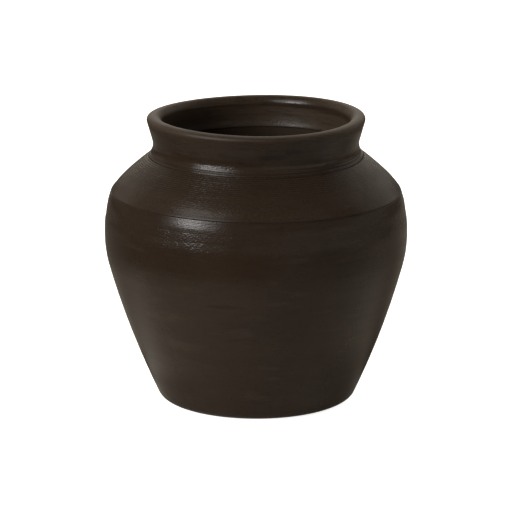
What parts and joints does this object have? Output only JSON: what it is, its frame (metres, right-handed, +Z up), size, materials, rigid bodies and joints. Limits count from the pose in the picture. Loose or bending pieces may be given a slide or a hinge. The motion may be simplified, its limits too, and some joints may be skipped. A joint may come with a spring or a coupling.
{
  "type": "clay vase",
  "caption": "Wide-bellied round clay vase with a sloping shoulder, short flared neck and thick rounded lip, for cut stems or display.",
  "frame": {"origin": "centre of the foot, on the plane that the vase stands on", "axes": "+Z up along the axis that the vase was turned on, with the mouth at the top; X and Y are free, because the vase is round"},
  "size_m": [0.25, 0.25, 0.238],
  "materials": {
    "clay": "satin, waxed dark brown clay",
    "slip": "matt, darker clay"
  },
  "bodies": {
    "root": {"base_disc": "clay", "base_slip": "slip", "body_wall": "clay", "shoulder_slip": "slip", "shoulder": "clay", "neck_slip": "slip", "neck": "clay"}
  },
  "joints": []
}
